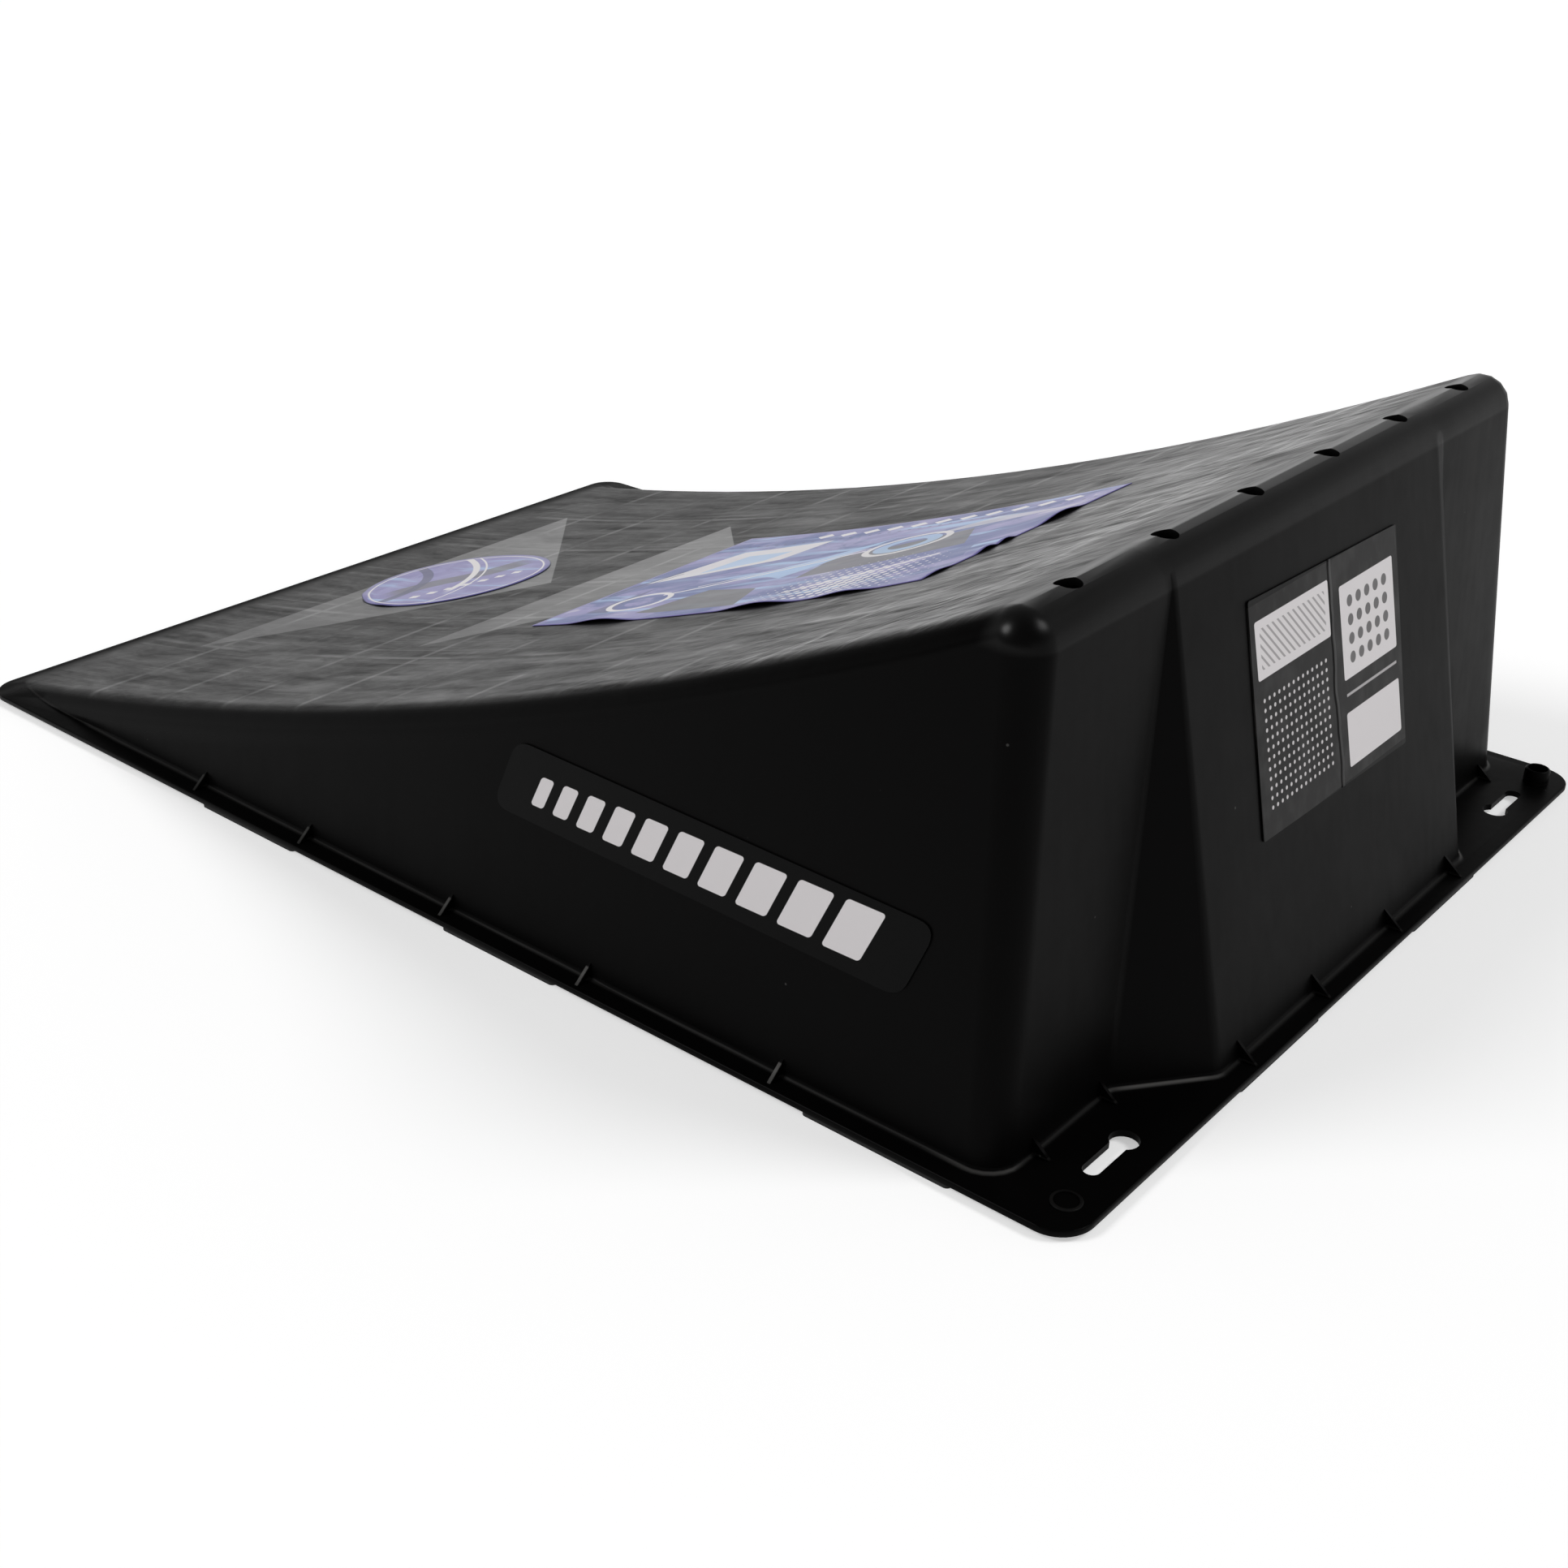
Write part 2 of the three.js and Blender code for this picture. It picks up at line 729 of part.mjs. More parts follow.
const alongRamp = new THREE.Vector3(1, 0, 0);
const acrossRamp = new THREE.Vector3(0, 1, 0);
const sideLabelX = shareOfLength(sideLabelPlaceShare);
const sideLabel = addPiece('side_label', wallSheet(sideLabelShape()), plastic(0x232326, 0.35));
layOnWall(
  sideLabel,
  new THREE.Vector3(sideLabelX, -sideWallY, flangeTopZ),
  alongRamp,
  new THREE.Vector3(0, Math.sin(sideDraft), Math.cos(sideDraft)),
  (deckZ(sideLabelX) - flangeTopZ) * sideLabelClimbShare,
  sideLabelTurn,
);

const rearLabelOutline = roundedRectangle(rearLabelWidth, rearLabelLength, rearLabelCornerRadius);
const rearLabel = addPiece('rear_label', wallSheet(rearLabelOutline), plastic(0x4a4a4d, 0.4));
layOnWall(
  rearLabel,
  new THREE.Vector3(panelWallX, rearLabelY, flangeTopZ),
  acrossRamp,
  new THREE.Vector3(-Math.sin(panelLean), 0, Math.cos(panelLean)),
  (lipCentre.z - flangeTopZ) * rearLabelClimbShare,
  rearLabelTurn,
);

export default ramp;
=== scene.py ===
"""Finishes for a moulded launch ramp: satin black shell, rubber pads, stickers and a pale stage."""

import math
from functools import reduce
from operator import and_, or_

import bmesh
import bpy
from bpy.props import FloatProperty, FloatVectorProperty, PointerProperty
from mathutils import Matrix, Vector


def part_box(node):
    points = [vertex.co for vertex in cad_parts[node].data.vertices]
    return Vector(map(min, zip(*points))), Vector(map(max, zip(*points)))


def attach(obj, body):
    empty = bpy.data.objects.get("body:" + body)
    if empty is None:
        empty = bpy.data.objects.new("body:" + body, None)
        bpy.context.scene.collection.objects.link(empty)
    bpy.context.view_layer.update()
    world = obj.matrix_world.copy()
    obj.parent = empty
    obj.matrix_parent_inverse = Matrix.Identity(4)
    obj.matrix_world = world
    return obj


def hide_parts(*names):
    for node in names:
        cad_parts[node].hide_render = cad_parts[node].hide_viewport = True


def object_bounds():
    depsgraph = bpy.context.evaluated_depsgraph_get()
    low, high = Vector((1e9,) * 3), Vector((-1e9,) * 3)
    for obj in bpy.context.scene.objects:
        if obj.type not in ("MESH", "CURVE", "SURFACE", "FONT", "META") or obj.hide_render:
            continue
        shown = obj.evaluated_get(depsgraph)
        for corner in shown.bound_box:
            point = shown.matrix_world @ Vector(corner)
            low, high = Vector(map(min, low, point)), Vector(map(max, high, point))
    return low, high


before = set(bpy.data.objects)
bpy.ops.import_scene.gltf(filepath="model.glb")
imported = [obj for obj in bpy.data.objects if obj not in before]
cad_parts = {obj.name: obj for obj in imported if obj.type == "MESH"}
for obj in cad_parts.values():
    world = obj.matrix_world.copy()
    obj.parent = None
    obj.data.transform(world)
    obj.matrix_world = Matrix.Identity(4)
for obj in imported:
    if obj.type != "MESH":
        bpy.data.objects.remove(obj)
cad_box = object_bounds()

bl_info = {
    "name": "Launch Ramp",
    "version": (1, 0, 0),
    "blender": (4, 5, 0),
    "location": "View3D > Sidebar > Ramp",
    "description": "Gives a moulded launch ramp its plastic, rubber, stickers and stage",
    "category": "Object",
}

BODY = "root"
MM = 0.001
TOE_X = cad_box[0].x / MM
REAR_X = cad_box[1].x / MM
CREST_Z = cad_box[1].z / MM


def length(name, description, default):
    return FloatProperty(name=name, description=description, default=default * MM, unit="LENGTH")


def angle(name, description, degrees):
    return FloatProperty(
        name=name, description=description, default=math.radians(degrees), subtype="ANGLE"
    )


def share(name, description, default):
    return FloatProperty(
        name=name, description=description, default=default, min=0, max=1, subtype="FACTOR"
    )


def colour(name, description, default):
    return FloatVectorProperty(
        name=name, description=description, default=default, min=0, size=3, subtype="COLOR"
    )


def direction(name, description, default):
    return FloatVectorProperty(
        name=name, description=description, default=default, size=3, subtype="DIRECTION"
    )


def millimetres(value):
    return value / MM


# Sizes and colours that a user can change


class RampDeck(bpy.types.PropertyGroup):
    radius: length("Arc radius", "Radius of the riding deck's arc", 1900)
    toe_angle: angle("Toe angle", "Slope of the deck where it leaves the flange", 10.5)
    toe_ledge: length("Toe ledge", "Flange in front of the deck", 4)
    flange_top: length("Flange top", "Height of the flange's upper face", 4)
    lip_inset: length("Lip inset", "How far the lip lies in from the flange's rear edge", 62.8)
    side_roll: length("Side roll", "Side distance at which the deck has started to roll over", 169)
    side_foot: length("Side foot", "Side distance of the side walls' foot", 191.5)
    side_draft: angle("Side draft", "How far the side walls lean inwards", 6.7)
    flute_side: length("Flute side", "Side distance of the flutes in the rear wall", 113)
    web_reach: length("Web reach", "How far a gusset stands out from its wall", 6.6)
    web_height: length("Web height", "Height of a gusset above the flange", 5.6)
    rib_start: length("First rib", "Distance of the first cross rib from the toe", 61.5)
    rib_pitch: length("Rib pitch", "Distance between cross ribs", 46.5)
    rib_end: length("Last rib", "Distance of the last cross rib from the toe", 480)
    long_rib_pitch: length("Long rib pitch", "Distance between ribs that run uphill", 58.5)
    long_rib_reach: length("Long rib reach", "Side distance of the outermost long rib", 117)
    sink_width: length("Sink width", "Half width of the faint line over each rib", 2.6)
    sink_depth: length("Sink depth", "Depth of the faint line over each rib", 0.035)


class RampPlastic(bpy.types.PropertyGroup):
    body: colour("Plastic", "Colour of the moulded shell", (0.0012, 0.0011, 0.0011))
    dust: colour("Dust", "Colour of the film of dust on the deck", (0.02, 0.019, 0.019))
    # The speck colour paints the small nicks and scratches, and also the painted highlights on the
    # gussets' slopes and the walls' foot round
    speck_and_highlight: colour("Speck", "Colour of the small nicks and the worn edges", (0.09, 0.088, 0.085))
    roughness: share("Roughness", "Roughness of the plastic", 0.4)
    shine: share("Shine", "Specular level of the plastic", 0.035)
    deck_shine: share("Deck shine", "How far the textured deck is polished at its toe", 0.15)
    lip_shine: share("Lip shine", "How far the textured deck is polished at its lip", 0.46)
    patch_shine: share("Patch shine", "How far the deck's smooth triangles are polished", 0.72)
    roll_shine: share("Roll shine", "How far the rounded lip is polished", 0.3)
    skin_roughness: share("Skin roughness", "Roughness of the polished skin", 0.3)
    grain_size: length("Grain size", "Size of the moulded grain", 0.7)
    grain_height: length("Grain height", "Half the height of the moulded grain", 0.006)
    wave_height: length("Wave height", "Height of the skin's slow waves", 0.12)
    nick_spacing: length("Nick spacing", "Rough distance between the small nicks", 21)
    scratch_depth: length("Scratch depth", "Depth of a thin scratch", 0.02)
    streak_depth: length("Streak depth", "Depth of a rubbed streak", 0.006)
    rubber: colour("Rubber", "Colour of the grip pads", (0.008, 0.008, 0.008))
    rubber_dust: colour("Rubber dust", "Colour of the dust on the pads", (0.03, 0.029, 0.028))
    rubber_shine: share("Rubber shine", "Specular level of the grip pads", 0.4)


class RampStickers(bpy.types.PropertyGroup):
    film: length("Film", "Thickness of a sticker", 0.25)
    air_gap: length("Air gap", "Gap between the deck and a sticker on it", 0.1)
    glue_gap: length("Glue gap", "How far a wall sticker's back moves down to its wall", 0.28)
    loose_edge: length("Loose edge", "How high the large sticker's loose edges stand", 1.75)
    slack: length("Slack", "Height of the shallow waves in the large sticker", 0.06)
    crease: length("Crease", "Height of the soft creases in a film", 0.12)
    roughness: share("Roughness", "Roughness of the stickers on the deck and the rear", 0.34)
    side_roughness: share("Side roughness", "Roughness of the side sticker", 0.4)
    round_shine: share("Round shine", "Specular level of the round sticker", 0.3)
    banner_shine: share("Banner shine", "Specular level of the large sticker", 0.2)
    side_shine: share("Side shine", "Specular level of the side sticker", 0.055)
    rear_shine: share("Rear shine", "Specular level of the rear sticker", 0.06)
    violet: colour("Violet", "Ground of the round sticker", (0.19, 0.17, 0.42))
    blue: colour("Blue", "Clear blue of the deck stickers", (0.045, 0.08, 0.3))
    lilac: colour("Lilac", "Lilac of the deck stickers", (0.26, 0.24, 0.5))
    sky: colour("Sky", "Palest blue of the deck stickers", (0.36, 0.54, 0.8))
    stone: colour("Stone", "Grey of the deck stickers", (0.07, 0.068, 0.065))
    navy: colour("Navy", "Darkest print colour of the deck stickers", (0.03, 0.035, 0.12))
    white: colour("White", "White of all the prints", (0.76, 0.73, 0.74))
    film_black: colour("Film black", "Ground of the side sticker", (0.0018, 0.0018, 0.0018))
    film_grey: colour("Film grey", "Ground of the rear sticker", (0.015, 0.0145, 0.0145))
    film_cloud: colour("Film cloud", "Pale blots on the rear sticker", (0.07, 0.068, 0.068))


class RampStage(bpy.types.PropertyGroup):
    floor: colour("Floor", "Colour of the floor", (0.72, 0.72, 0.72))
    floor_reach: length("Floor reach", "How far the floor goes to each side", 12000)
    backdrop: share("Backdrop", "White added to the floor where the camera sees it", 0.45)
    horizon: colour("Horizon", "Light from low down on the far side", (1.1, 1.1, 1.1))
    ceiling: colour("Ceiling", "Light from overhead", (0.2, 0.2, 0.2))
    left_lamp: direction("Left lamp", "Way to the lamp on the left", (-0.486, -0.567, 0.666))
    right_lamp: direction("Right lamp", "Way to the lamp on the right", (0.516, 0.416, 0.748))
    lamp_strength: FloatProperty(
        name="Lamp strength", description="Strength of each soft lamp", default=1.15, min=0
    )
    lamp_spread: angle("Lamp spread", "How wide each soft lamp looks from the ramp", 20)
    camera_place: FloatVectorProperty(
        name="Camera place",
        description="Where the camera stands",
        default=(0.50771, -0.61015, 0.38786),
        subtype="TRANSLATION",
        unit="LENGTH",
    )
    camera_turn: FloatVectorProperty(
        name="Camera turn",
        description="Angles that point the camera at the ramp",
        default=[math.radians(turn) for turn in (62.7052, -1.2389, 39.6234)],
        subtype="EULER",
        unit="ROTATION",
    )
    lens: FloatProperty(
        name="Lens", description="Focal length of the camera", default=46.144, unit="CAMERA"
    )


# Shader maths


class Wire:
    """A socket that can stand in a sum: each step adds one Math node to its board."""

    def __init__(self, board, socket):
        self.board = board
        self.socket = socket

    def __add__(self, other):
        return self.board.maths("ADD", self, other)

    def __radd__(self, other):
        return self.board.maths("ADD", other, self)

    def __sub__(self, other):
        return self.board.maths("SUBTRACT", self, other)

    def __rsub__(self, other):
        return self.board.maths("SUBTRACT", other, self)

    def __mul__(self, other):
        return self.board.maths("MULTIPLY", self, other)

    def __rmul__(self, other):
        return self.board.maths("MULTIPLY", other, self)

    def __truediv__(self, other):
        return self.board.maths("DIVIDE", self, other)

    def __pow__(self, other):
        return self.board.maths("POWER", self, other)

    def __abs__(self):
        return self.board.maths("ABSOLUTE", self)

    def __and__(self, other):
        return self.board.maths("MINIMUM", self, other)

    def __or__(self, other):
        return self.board.maths("MAXIMUM", self, other)


class Board:
    """The nodes of one material or world, ending in its shader."""

    def __init__(self, owner, shader):
        owner.use_nodes = True
        self.owner = owner
        self.tree = owner.node_tree
        self.shader = self.tree.nodes[shader]

    def node(self, kind, settings=(), inputs=(), output=0):
        """Adds one node: its type, its settings, then the values or links of its sockets."""
        made = self.tree.nodes.new(kind)
        for name, value in dict(settings).items():
            setattr(made, name, value)
        for name, value in dict(inputs).items():
            self.feed(made.inputs[name], value)
        return Wire(self, made.outputs[output])

    def feed(self, socket, value):
        """Links a wire to a socket, or sets the socket's own value."""
        if isinstance(value, Wire):
            self.tree.links.new(value.socket, socket)
        else:
            socket.default_value = value

    def finish(self, **sockets):
        """Feeds the shader's sockets, which are named here with _ in place of a space."""
        for socket, value in sockets.items():
            self.feed(self.shader.inputs[socket.replace("_", " ")], value)
        return self.owner

    def maths(self, operation, *terms):
        return self.node("ShaderNodeMath", {"operation": operation}, enumerate(terms))

    def axes(self):
        """The three coordinates of the ramp's own frame, in millimetres."""
        place = self.node("ShaderNodeTexCoord", output="Object")
        scaled = self.node(
            "ShaderNodeVectorMath", {"operation": "SCALE"}, {0: place, "Scale": 1 / MM}
        )
        return [
            self.node("ShaderNodeSeparateXYZ", (), {0: scaled}, output=axis) for axis in "XYZ"
        ]

    def vector(self, x, y, z):
        return self.node("ShaderNodeCombineXYZ", (), {0: x, 1: y, 2: z})

    def ramp(self, value, low, high):
        """0 below low and 1 above high, with a soft step between them; low may be the larger."""
        return self.node(
            "ShaderNodeMapRange",
            {"interpolation_type": "SMOOTHSTEP"},
            {"Value": value, "From Min": low, "From Max": high},
        )

    def noise(self, vector, detail=2.0, roughness=0.5):
        """Soft noise from 0 to 1, with blots about 1 across."""
        return self.node(
            "ShaderNodeTexNoise",
            {"noise_dimensions": "3D"},
            {"Vector": vector, "Scale": 1.0, "Detail": detail, "Roughness": roughness},
        )

    def blots(self, axes, sizes, detail=2.0, roughness=0.5):
        """Soft noise whose blots have these sizes along the axes, in millimetres."""
        scaled = (axis / size for axis, size in zip(axes, sizes))
        return self.noise(self.vector(*scaled), detail, roughness)

    def cells(self, axes, spacing):
        """Distance from the nearest of many scattered points, as a share of their spacing."""
        vector = self.vector(*(axis / spacing for axis in axes))
        return self.node(
            "ShaderNodeTexVoronoi", {"feature": "F1"}, {"Vector": vector, "Scale": 1.0}
        )

    def mix(self, factor, low, high):
        """A colour between two colours; each is a wire or three numbers."""
        ends = [end if isinstance(end, Wire) else (*end, 1) for end in (low, high)]
        return self.node(
            "ShaderNodeMix",
            {"data_type": "RGBA"},
            {"Factor": factor, 6: ends[0], 7: ends[1]},
            output=2,
        )

    def paint(self, ground, *layers):
        """A ground with colours laid over it, each through its own mask."""
        for mask, over in layers:
            ground = self.mix(mask, ground, over)
        return ground

    def bump(self, height):
        """A normal from a height in millimetres."""
        return self.node("ShaderNodeBump", (), {"Height": height, "Distance": MM})

    def seen(self):
        """1 for what the camera sees straight, mirrored or through glass."""
        rays = ("Is Camera Ray", "Is Glossy Ray", "Is Transmission Ray")
        return reduce(or_, (self.node("ShaderNodeLightPath", output=ray) for ray in rays))

    def off_grid(self, value, pitch):
        """Distance from the nearest whole number of pitches."""
        return abs(self.maths("FRACT", value / pitch + 0.5) - 0.5) * pitch

    def stripe(self, value, centre, half_width, soft=0.2):
        """1 where a value is near its centre."""
        return self.ramp(abs(value - centre), half_width + soft, half_width - soft)

    def panel(self, u, v, centre, size, corner=1.0, soft=0.12):
        """1 inside a rectangle with rounded corners."""
        beside = (abs(u - centre[0]) - (size[0] / 2 - corner)) | 0
        above = (abs(v - centre[1]) - (size[1] / 2 - corner)) | 0
        return self.ramp((beside**2 + above**2) ** 0.5, corner + soft, corner - soft)

    def away(self, u, v, centre=(0, 0)):
        """Distance from a point."""
        return ((u - centre[0]) ** 2 + (v - centre[1]) ** 2) ** 0.5

    def dots(self, u, v, pitch, radius, soft=0.15):
        """1 inside the dots of a square grid."""
        far = self.away(self.off_grid(u, pitch), self.off_grid(v, pitch))
        return self.ramp(far - radius, soft, -soft)

    def shard(self, u, v, corners, soft=0.15):
        """1 inside a straight-sided shape whose corners go anticlockwise."""
        depths = []
        for (u0, v0), (u1, v1) in zip(corners, corners[1:] + corners[:1]):
            span = math.hypot(u1 - u0, v1 - v0)
            depths.append((v - v0) * ((u1 - u0) / span) - (u - u0) * ((v1 - v0) / span))
        return self.ramp(reduce(and_, depths), -soft, soft)

    def turned(self, u, v, degrees):
        """The two coordinates turned by an angle."""
        angle = math.radians(degrees)
        along = u * math.cos(angle) + v * math.sin(angle)
        across = v * math.cos(angle) - u * math.sin(angle)
        return along, across


def plastic_board(name, **constants):
    """The board of a new material, with what is the same all over it already set."""
    board = Board(bpy.data.materials.new(name), "Principled BSDF")
    board.finish(**constants)
    return board


def swing(value, by):
    """A change about zero, from a value that goes from 0 to 1."""
    return (value - 0.5) * by


# Shapes


def middle(node):
    """The middle and the size of a frame node, in millimetres."""
    low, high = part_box(node)
    return (low + high) / 2 / MM, (high - low) / MM


def deck_height(x, deck):
    """Height of the deck's upper face at x, in millimetres, where x is a number or a wire."""
    radius = millimetres(deck.radius)
    start = TOE_X + millimetres(deck.toe_ledge)
    centre_x = start - radius * math.sin(deck.toe_angle)
    centre_z = millimetres(deck.flange_top) + radius * math.cos(deck.toe_angle)
    return centre_z - (radius**2 - (x - centre_x) ** 2) ** 0.5


def new_piece(name, verts, faces):
    mesh = bpy.data.meshes.new(name)
    mesh.from_pydata(verts, [], faces)
    mesh.update()
    piece = bpy.data.objects.new(name, mesh)
    bpy.context.scene.collection.objects.link(piece)
    return piece


def welded_copy(name, node, shift=None, near=0.004 * MM):
    """A piece with a frame node's form, its corners welded so that it can be shaded smooth."""
    work = bmesh.new()
    work.from_mesh(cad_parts[node].data)
    bmesh.ops.remove_doubles(work, verts=work.verts, dist=near)
    work.verts.index_update()
    verts = [vert.co.copy() for vert in work.verts]
    faces = [[vert.index for vert in face.verts] for face in work.faces]
    work.free()
    if shift is not None:
        verts = [shift(point) for point in verts]
    return new_piece(name, verts, faces)


def shade(piece, sharp_degrees):
    """Smooth shading, with flat faces kept flat where they meet rounded edges."""
    mesh = piece.data
    mesh.polygons.foreach_set("use_smooth", [True] * len(mesh.polygons))
    mesh.set_sharp_from_angle(angle=math.radians(sharp_degrees))
    weighted = piece.modifiers.new("Even normals", "WEIGHTED_NORMAL")
    weighted.keep_sharp = True
    weighted.weight = 80


def glued_copy(name, node, out, depth):
    """A wall sticker whose back is moved down to the wall that it is glued to."""
    points = [vert.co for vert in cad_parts[node].data.vertices]
    heights = [point.dot(out) for point in points]
    middle_height = (min(heights) + max(heights)) / 2

    def shift(point):
        return point - out * depth if point.dot(out) < middle_height else point

    piece = welded_copy(name, node, shift)
    shade(piece, 30)
    return piece


def seat(piece, material, node):
    """Gives a piece its finish and its body, and hides the frame node that it stands for."""
    piece.data.materials.append(material)
    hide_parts(node)
    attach(piece, BODY)


def hump(distance, reach):
    """A smooth rise to 1 at distance 0, down to 0 where the distance is the reach."""
    return (1 + math.cos(math.pi * min(abs(distance) / reach, 1))) / 2


def deck_sheet(name, outline, place, scene, lift):
    """A sticker on the deck; lift says how far each of its points stands up."""
    stickers = scene.ramp_stickers
    face = millimetres(stickers.film + stickers.air_gap)
    verts = []
    for u, v in outline["points"]:
        x, y = place[0] + u, place[1] + v
        z = deck_height(x, scene.ramp_deck) + face + lift(u, v)
        verts.append(Vector((x, y, z)) * MM)
    sheet = new_piece(name, verts, outline["faces"])
    sheet.data.polygons.foreach_set("use_smooth", [True] * len(sheet.data.polygons))
    thick = sheet.modifiers.new("Film", "SOLIDIFY")
    thick.thickness = stickers.film
    thick.offset = -1
    return sheet


def grid(width, depth, columns, rows):
    """A rectangular sheet of points about its own centre."""
    points, faces = [], []
    for row in range(rows + 1):
        for column in range(columns + 1):
            points.append((width * (column / columns - 0.5), depth * (row / rows - 0.5)))
    for row in range(rows):
        for column in range(columns):
            first = row * (columns + 1) + column
            above = first + columns + 1
            faces.append((first, first + 1, above + 1, above))
    return {"points": points, "faces": faces}


def disc(radius, rings, steps):
    """A round sheet: one middle point and rings about it."""
    points, faces = [(0, 0)], []
    for ring in range(1, rings + 1):
        for step in range(steps):
            angle = math.tau * step / steps
            reach = radius * ring / rings
            points.append((reach * math.cos(angle), reach * math.sin(angle)))
    for step in range(steps):
        after = (step + 1) % steps
        faces.append((0, 1 + step, 1 + after))
        for ring in range(rings - 1):
            inner, outer = 1 + ring * steps, 1 + (ring + 1) * steps
            faces.append((inner + step, outer + step, outer + after, inner + after))
    return {"points": points, "faces": faces}


# Materials


def shell_zones(board, axes, deck):
    """Masks of the deck, the rolled lip and the rolled side edges, and the depth below the arc."""
    x, y, z = axes
    past_lip = x - (REAR_X - millimetres(deck.lip_inset))
    roll = millimetres(deck.side_roll)
    arc = deck_height(x, deck)
    below = arc - z
    on_deck = board.ramp(abs(below), 2.4, 0.1) & board.ramp(x - TOE_X, 5, 12)
    on_deck = on_deck * (1 - board.ramp(past_lip, -34, 4) * 0.5)
    on_lip = board.ramp(past_lip, -4, 3) & board.ramp(past_lip, 26, 2)
    on_lip = on_lip & board.ramp(CREST_Z - z, 12, 8)
    on_lip = on_lip * (1 - board.ramp(abs(y), roll - 9, roll - 1) * 0.4)
    on_edge = board.ramp((arc & CREST_Z) - z, 17, 9) & board.ramp(below, 0.3, 2)
    on_edge = on_edge & board.ramp(abs(y), roll - 7, roll)
    return on_deck, on_lip, on_edge, below


def rib_lines(board, axes, deck):
    """Faint lines where the ribs under the deck drew the plastic in."""
    x, y, _ = axes
    along, width = x - TOE_X, millimetres(deck.sink_width)
    first, last = millimetres(deck.rib_start), millimetres(deck.rib_end)
    cross = board.ramp(board.off_grid(along - first, millimetres(deck.rib_pitch)), width, 0)
    cross = cross * board.ramp(along, first - 4, first - 2) * board.ramp(along, last + 4, last + 2)

    # Beside each rib that runs uphill: thinner lines, each with its place and strength
    pitch, reach = millimetres(deck.long_rib_pitch), millimetres(deck.long_rib_reach)
    uphill = board.ramp(board.off_grid(y, pitch), width, 0)
    for aside, strength in ((11, 0.6), (-7, 0.4), (23, 0.35)):
        thin = board.ramp(board.off_grid(y - aside, pitch), 1.2, 0)
        uphill = uphill | thin * strength
    uphill = uphill * board.ramp(abs(y), reach + 14, reach + 12)
    shown = board.ramp(board.noise(board.vector(x / 52, y / 30, 3)), 0.38, 0.62)
    return (cross | uphill) * (shown * 0.92 + 0.08)


def smooth_triangles(board, axes):
    """Two smooth triangles in the textured deck, pointing uphill."""
    x, y, _ = axes
    along = x - TOE_X
    triangles = []
    for base, half_base, point in ((48, 120, 158.6), (181, 101.6, 274.6)):
        slope = half_base / (point - base)
        inside = board.ramp((point - along) * slope - abs(y), 0, 0.8)
        triangles.append(board.ramp(along, base, base + 0.7) & inside)
    return reduce(or_, triangles)


def rubbed_marks(board, axes, cloud):
    """Rubbed streaks, the uneven wear that goes with them, and a few thin scratches."""
    x, y, _ = axes
    streaks, wear = [], 0
    for degrees, long, thin, seed in ((60, 46, 1.8, 1), (70, 80, 5, 7), (30, 38, 2.4, 13)):
        run, side = board.turned(x, y, degrees)
        mark = board.noise(board.vector(run / long, side / thin + cloud * 4, seed), 3.0, 0.6)
        wear = wear + (mark - 0.5)
        streaks.append(board.ramp(mark, 0.56, 0.74))
    run, side = board.turned(x, y, 70)
    scratch = board.noise(board.vector(run / 55, side / 0.9, 21), 1.0)
    return reduce(or_, streaks), wear, board.ramp(scratch, 0.74, 0.8)


def painted_highlight_lines(board, axes, deck):
    """Painted highlights: light lines on the side gussets' slopes and on the round at the walls'
    foot, where these edges catch the light.
    """
    x, y, z = axes
    aside, up = abs(y), z - millimetres(deck.flange_top)
    foot, out = millimetres(deck.side_foot), millimetres(deck.web_reach)
    tall = millimetres(deck.web_height)
    off_slope = (up * out + (aside - foot) * tall - out * tall) / math.hypot(out, tall)
    webs = board.ramp(abs(off_slope), 0.5, 0.3) & board.ramp(aside, foot + 0.3, foot + 0.8)
    webs = webs & board.ramp(up, 0.1, 0.3)
    webs = webs * (board.ramp(x, -170, 190) * 0.85 + 0.25)

    # The painted highlight is brightest at the rear flutes and round the corner, and gone at the
    # corner bay's far end
    flutes = board.stripe(aside, millimetres(deck.flute_side), 14, 6) * board.ramp(x, 240, 250)
    bend = board.ramp(x, 225, 245) & board.ramp(aside, 176, 186)
    dark = board.ramp(x, 260, 262) & board.ramp(aside, 150, 155)
    round_foot = board.stripe(up, 0.6, 0.3, 0.25) * (flutes * 0.85 + bend * 0.3 + 0.11)
    round_foot = round_foot * board.ramp(aside, foot + 2.4, foot + 2) * (1 - dark * 0.85)
    return webs | round_foot


